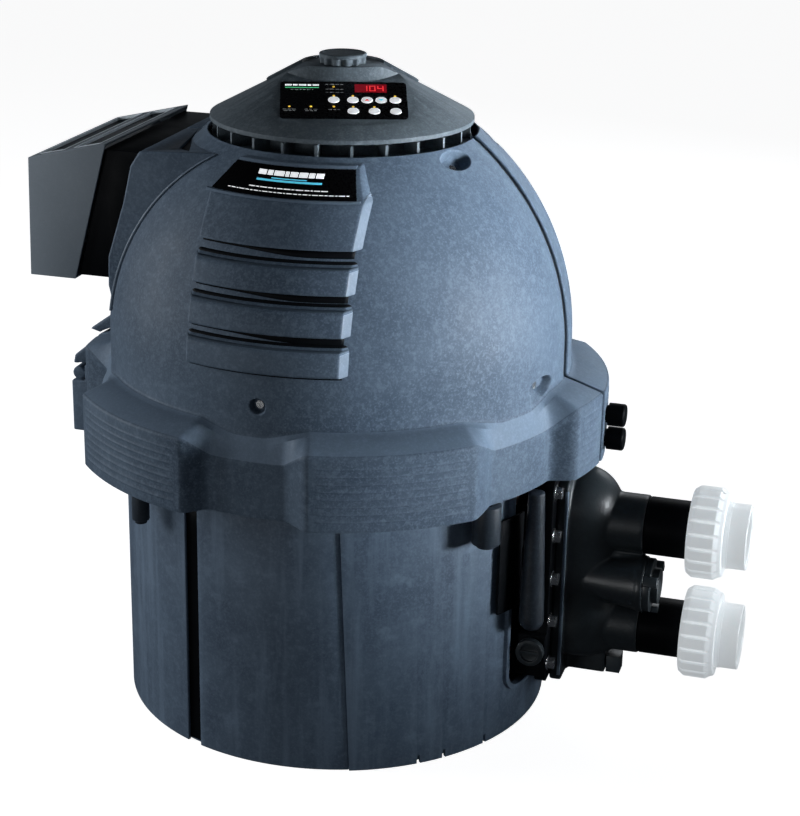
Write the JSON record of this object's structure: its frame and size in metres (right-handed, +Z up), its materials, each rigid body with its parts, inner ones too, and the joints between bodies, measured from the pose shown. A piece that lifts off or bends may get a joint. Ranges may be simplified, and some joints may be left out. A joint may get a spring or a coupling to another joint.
{
  "type": "gas pool heater",
  "caption": "Free-standing gas pool heater with a round tub, domed jacket, castellated collar, turning control cap, side exhaust hood and a two-port water header.",
  "frame": {"origin": "centre of the tub's foot, on the ground", "axes": "+Z up, -Y the louvered front, +X the water side along the two pipes, -X the exhaust side"},
  "size_m": [0.818, 0.5946, 0.739],
  "materials": {
    "jacket": "satin moulded",
    "cap": "fine textured",
    "tub": "mottled moulded",
    "black_plastic": "semi-gloss",
    "header_plastic": "glossy moulded",
    "hood_metal": "satin paint",
    "white_pvc": "smooth",
    "rubber": "matt",
    "stainless": "bright",
    "sheet_steel": "black coated",
    "insulation": "fibrous",
    "copper": "finned tube",
    "brass": "machined",
    "cast_aluminium": "cast",
    "igniter_ceramic": "matt",
    "circuit": "board",
    "key_white": "membrane",
    "display": "red filter",
    "lamp": "clear dome"
  },
  "bodies": {
    "heater": {"air_gas_mixer": "black_plastic", "back_jacket": "jacket", "badge_plate": "black_plastic", "base_pan": "tub", "blower_housing": "black_plastic", "blower_motor": "sheet_steel", "branch_cap": "black_plastic", "burner": "stainless", "collar_posts": "black_plastic", "combustion_tank": "sheet_steel", "conduit_plugs": "black_plastic", "drain_plugs": "black_plastic", "exhaust_hood": "hood_metal", "flue_pipe": "stainless", "front_jacket": "jacket", "gas_pipe": "sheet_steel", "gas_valve": "cast_aluminium", "header": "header_plastic", "header_bolts": "stainless", "heat_exchanger_coil": "copper", "hood_duct": "black_plastic", "igniter": "igniter_ceramic", "ignition_module": "black_plastic", "jacket_screws": "stainless", "junction_box": "jacket", "junction_box_lid": "jacket", "seam_seal": "rubber", "sensor_lead_cover": "rubber", "stub_pipes": "header_plastic", "tank_insulation": "insulation", "tank_lid": "sheet_steel", "tub_front_panel": "tub", "tub_left_panel": "tub", "tub_right_panel": "tub", "tubesheet": "header_plastic", "union_seals": "rubber", "union_seats": "white_pvc", "union_tailpieces": "white_pvc", "vent_ring": "cap"},
    "control_cap": {"control_cap": "cap", "keypad_plate": "black_plastic", "display_window": "display", "indicator_lights": "lamp", "control_board": "circuit"},
    "clamp_knob": {"clamp_knob": "cap"},
    "upper_union_nut": {"upper_union_nut": "white_pvc"},
    "lower_union_nut": {"lower_union_nut": "white_pvc"},
    "blower_impeller": {"blower_impeller": "cast_aluminium"},
    "bypass_valve": {"bypass_valve": "stainless", "bypass_spring": "stainless"},
    "thermal_governor": {"thermal_governor": "brass"},
    "gas_valve_switch": {"gas_valve_switch": "black_plastic"},
    "key_1": {"key_1": "key_white"},
    "key_2": {"key_2": "key_white"},
    "key_3": {"key_3": "key_white"},
    "key_4": {"key_4": "key_white"},
    "key_5": {"key_5": "key_white"},
    "key_6": {"key_6": "key_white"},
    "key_7": {"key_7": "key_white"},
    "key_8": {"key_8": "key_white"}
  },
  "joints": [
    {"name": "cap_turn", "type": "hinge", "parent": "heater", "child": "control_cap", "pos_m": [0, 0, 0.7], "axis": [0, 0, 1], "range_deg": [-170, 170]},
    {"name": "knob_turn", "type": "hinge", "parent": "control_cap", "child": "clamp_knob", "pos_m": [0, 0, 0.734], "axis": [0, 0, 1], "range_deg": [0, 350]},
    {"name": "upper_nut_spin", "type": "hinge", "parent": "heater", "child": "upper_union_nut", "pos_m": [0.43, 0, 0.236], "axis": [1, 0, 0], "continuous": true},
    {"name": "lower_nut_spin", "type": "hinge", "parent": "heater", "child": "lower_union_nut", "pos_m": [0.43, 0, 0.1144], "axis": [1, 0, 0], "continuous": true},
    {"name": "impeller_spin", "type": "hinge", "parent": "heater", "child": "blower_impeller", "pos_m": [0, 0, 0.4], "axis": [0, 0, 1], "continuous": true},
    {"name": "bypass_lift", "type": "slide", "parent": "heater", "child": "bypass_valve", "axis": [0, 0, 1], "range_m": [0, 0.008], "stiffness_N_per_m": 1200, "springref_m": -0.002, "deforming": ["bypass_spring"]},
    {"name": "governor_stroke", "type": "slide", "parent": "heater", "child": "thermal_governor", "axis": [1, 0, 0], "range_m": [0, 0.006], "stiffness_N_per_m": 1500, "springref_m": -0.001},
    {"name": "gas_switch_turn", "type": "hinge", "parent": "heater", "child": "gas_valve_switch", "pos_m": [0.168, 0.135, 0.38], "axis": [0, 0, 1], "range_deg": [0, 90]},
    {"name": "key_1_press", "type": "slide", "parent": "control_cap", "child": "key_1", "axis": [-0.104, 0.302, -0.9476], "range_m": [0, 0.0008], "stiffness_N_per_m": 800, "springref_m": -0.0005},
    {"name": "key_2_press", "type": "slide", "parent": "control_cap", "child": "key_2", "axis": [-0.104, 0.302, -0.9476], "range_m": [0, 0.0008], "stiffness_N_per_m": 800, "springref_m": -0.0005},
    {"name": "key_3_press", "type": "slide", "parent": "control_cap", "child": "key_3", "axis": [-0.104, 0.302, -0.9476], "range_m": [0, 0.0008], "stiffness_N_per_m": 800, "springref_m": -0.0005},
    {"name": "key_4_press", "type": "slide", "parent": "control_cap", "child": "key_4", "axis": [-0.104, 0.302, -0.9476], "range_m": [0, 0.0008], "stiffness_N_per_m": 800, "springref_m": -0.0005},
    {"name": "key_5_press", "type": "slide", "parent": "control_cap", "child": "key_5", "axis": [-0.104, 0.302, -0.9476], "range_m": [0, 0.0008], "stiffness_N_per_m": 800, "springref_m": -0.0005},
    {"name": "key_6_press", "type": "slide", "parent": "control_cap", "child": "key_6", "axis": [-0.104, 0.302, -0.9476], "range_m": [0, 0.0008], "stiffness_N_per_m": 800, "springref_m": -0.0005},
    {"name": "key_7_press", "type": "slide", "parent": "control_cap", "child": "key_7", "axis": [-0.104, 0.302, -0.9476], "range_m": [0, 0.0008], "stiffness_N_per_m": 800, "springref_m": -0.0005},
    {"name": "key_8_press", "type": "slide", "parent": "control_cap", "child": "key_8", "axis": [-0.104, 0.302, -0.9476], "range_m": [0, 0.0008], "stiffness_N_per_m": 800, "springref_m": -0.0005}
  ]
}
